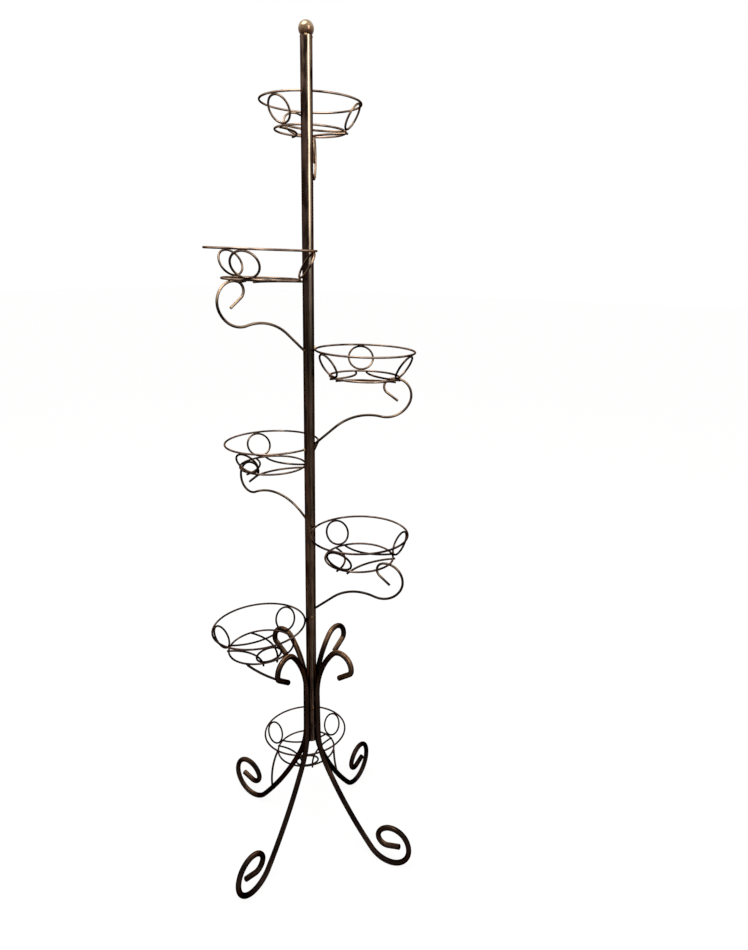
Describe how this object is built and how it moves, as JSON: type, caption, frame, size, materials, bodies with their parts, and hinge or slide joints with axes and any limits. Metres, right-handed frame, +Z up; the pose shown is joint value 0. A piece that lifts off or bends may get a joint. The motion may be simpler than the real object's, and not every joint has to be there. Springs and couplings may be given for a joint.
{
  "type": "hanging plant stand",
  "caption": "Tall free-standing plant stand: wire baskets climb round one post on scroll legs, each to hold a flower pot.",
  "frame": {"origin": "on the floor, on the axis of the round post", "axes": "+Z up along the post; the legs point roughly along +X, +Y, -X and -Y, with the picture taken from between +X and -Y"},
  "size_m": [0.5718, 0.5736, 1.9465],
  "materials": {
    "post": "dark antique patina, rubbed back to bronze on the high places, semi-gloss lacquer",
    "ball": "antique gold patina, polished by hand",
    "leg": "dark antique patina, rubbed back to bronze on the high places, semi-gloss lacquer",
    "wire": "dark antique patina, rubbed back to bronze on the high places, semi-gloss lacquer",
    "arm": "dark antique patina, rubbed back to bronze on the high places, semi-gloss lacquer"
  },
  "bodies": {
    "root": {"post_tube": "post", "ball_finial": "ball", "leg_1": "leg", "leg_2": "leg", "leg_3": "leg", "leg_4": "leg", "basket_1_rim": "wire", "basket_1_base": "wire", "basket_1_link_1": "wire", "basket_1_link_2": "wire", "basket_1_link_3": "wire", "basket_2_rim": "wire", "basket_2_base": "wire", "basket_2_link_1": "wire", "basket_2_link_2": "wire", "basket_2_link_3": "wire", "basket_3_rim": "wire", "basket_3_base": "wire", "basket_3_link_1": "wire", "basket_3_link_2": "wire", "basket_3_link_3": "wire", "basket_4_rim": "wire", "basket_4_base": "wire", "basket_4_link_1": "wire", "basket_4_link_2": "wire", "basket_4_link_3": "wire", "basket_5_rim": "wire", "basket_5_base": "wire", "basket_5_link_1": "wire", "basket_5_link_2": "wire", "basket_5_link_3": "wire", "basket_6_rim": "wire", "basket_6_base": "wire", "basket_6_link_1": "wire", "basket_6_link_2": "wire", "basket_6_link_3": "wire", "basket_7_rim": "wire", "basket_7_base": "wire", "basket_7_link_1": "wire", "basket_7_link_2": "wire", "basket_7_link_3": "wire", "arm_1": "arm", "arm_2": "arm", "arm_3": "arm", "arm_4": "arm", "arm_5": "arm", "basket_6_stay": "arm", "basket_7_stay_left": "arm", "basket_7_stay_right": "arm"}
  },
  "joints": []
}
